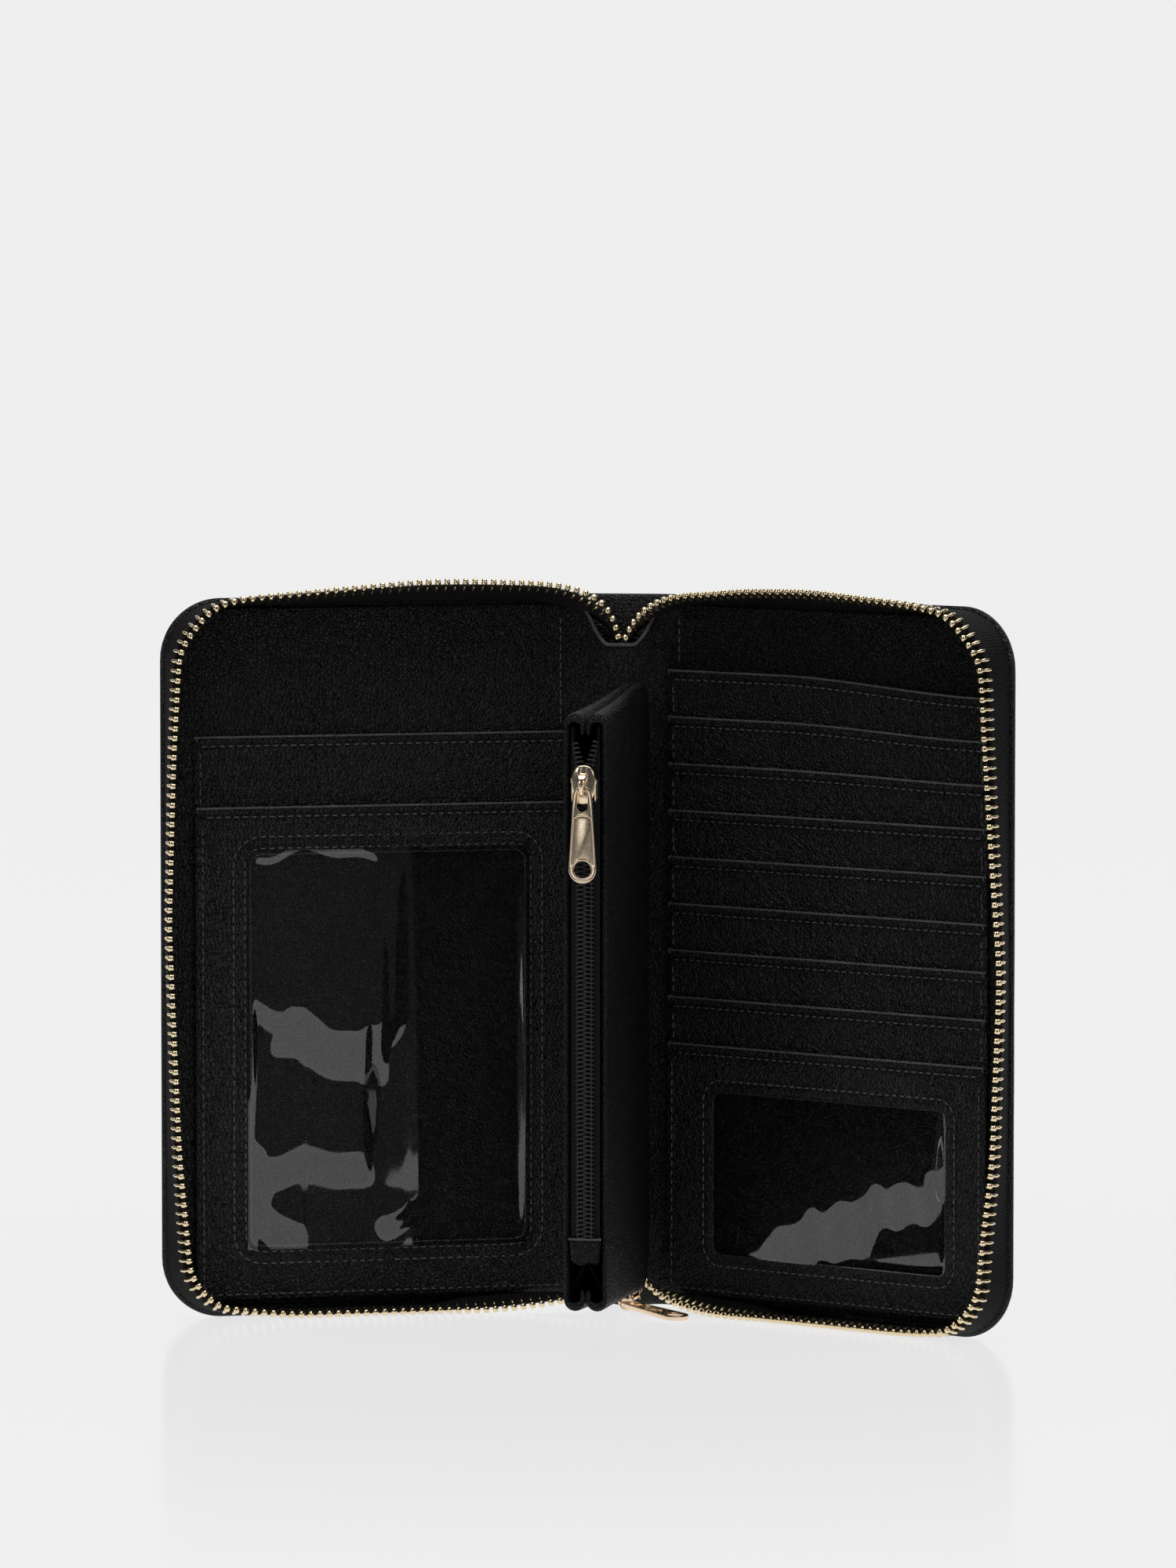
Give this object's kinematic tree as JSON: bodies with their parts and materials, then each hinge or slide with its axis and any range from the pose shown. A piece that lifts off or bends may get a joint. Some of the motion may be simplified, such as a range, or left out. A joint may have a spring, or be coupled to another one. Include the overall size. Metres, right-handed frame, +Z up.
{
  "type": "zip-around wallet",
  "caption": "Zip-around organiser wallet standing open: stiff leather covers on a spine, card slots, clear windows, a zipped coin pocket leaf and a metal zip round three sides.",
  "frame": {"origin": "middle of the spine's lower edge, on the surface that the wallet stands on", "axes": "+Z up along the spine, +X to the right of a viewer who looks into the open wallet, -Y towards that viewer"},
  "size_m": [0.2265, 0.1029, 0.1895],
  "materials": {
    "outer_leather": "fine-grain black faux leather, satin",
    "inner_leather": "fine-grain black faux leather, satin",
    "pocket_leather": "soft black faux leather, satin",
    "lining_fabric": "black polyester lining",
    "zip_tape": "woven black tape",
    "zip_coil": "black nylon coil",
    "zip_teeth": "polished pale gold teeth",
    "pull_metal": "polished champagne gold casting",
    "window_film": "clear flexible vinyl, slightly wavy",
    "board": "grey stiffening board"
  },
  "bodies": {
    "spine": {"spine_leather": "outer_leather", "spine_lining": "inner_leather", "main_zip_tape_end_top": "zip_tape", "main_zip_tape_end_bottom": "zip_tape", "main_zip_slider": "pull_metal"},
    "left_cover": {"left_cover_leather": "outer_leather", "left_cover_board": "board", "left_lining_panel": "inner_leather", "left_slip_pocket": "inner_leather", "left_window_pocket": "inner_leather", "left_window_film": "window_film", "left_zip_tape": "zip_tape", "left_zip_teeth": "zip_teeth"},
    "right_cover": {"right_cover_leather": "outer_leather", "right_cover_board": "board", "right_lining_panel": "inner_leather", "card_slot_1": "inner_leather", "card_slot_2": "inner_leather", "card_slot_3": "inner_leather", "card_slot_4": "inner_leather", "card_slot_5": "inner_leather", "card_slot_6": "inner_leather", "card_slot_7": "inner_leather", "card_slot_8": "inner_leather", "id_window_pocket": "inner_leather", "id_window_film": "window_film", "right_zip_tape": "zip_tape", "right_zip_teeth": "zip_teeth"},
    "coin_pocket": {"coin_left_panel": "pocket_leather", "coin_right_panel": "pocket_leather", "coin_left_lining": "lining_fabric", "coin_right_lining": "lining_fabric", "coin_top_gusset": "lining_fabric", "coin_bottom_gusset": "lining_fabric", "coin_hinge_strip": "pocket_leather", "coin_zip_tape_left": "zip_tape", "coin_zip_tape_right": "zip_tape", "coin_zip_coil_left": "zip_coil", "coin_zip_coil_right": "zip_coil", "coin_zip_end_tab": "pocket_leather"},
    "coin_slider": {"coin_zip_slider": "pull_metal"},
    "coin_pull": {"coin_zip_pull": "pull_metal"},
    "main_pull": {"main_zip_pull": "pull_metal"}
  },
  "joints": [
    {"name": "left_cover_fold", "type": "hinge", "parent": "spine", "child": "left_cover", "pos_m": [-0.012, 0, 0.094], "axis": [0, 0, 1], "range_deg": [-21.3, 68.7]},
    {"name": "right_cover_fold", "type": "hinge", "parent": "spine", "child": "right_cover", "pos_m": [0.012, 0, 0.094], "axis": [0, 0, 1], "range_deg": [-58.8, 31.2]},
    {"name": "coin_pocket_swing", "type": "hinge", "parent": "spine", "child": "coin_pocket", "pos_m": [0.006, -0.0024, 0.086], "axis": [0, 0, 1], "range_deg": [-55, 46]},
    {"name": "coin_slider_travel", "type": "slide", "parent": "coin_pocket", "child": "coin_slider", "axis": [0, 0, -1], "range_m": [-0.003, 0.11]},
    {"name": "coin_pull_swing", "type": "hinge", "parent": "coin_slider", "child": "coin_pull", "pos_m": [0.00178, -0.09906, 0.146], "axis": [-0.999, 0.0436, 0], "range_deg": [0, 160]},
    {"name": "main_pull_swivel", "type": "hinge", "parent": "spine", "child": "main_pull", "pos_m": [0.00379, -0.01439, 0.002], "axis": [0, 0, -1], "range_deg": [-20, 25]}
  ]
}
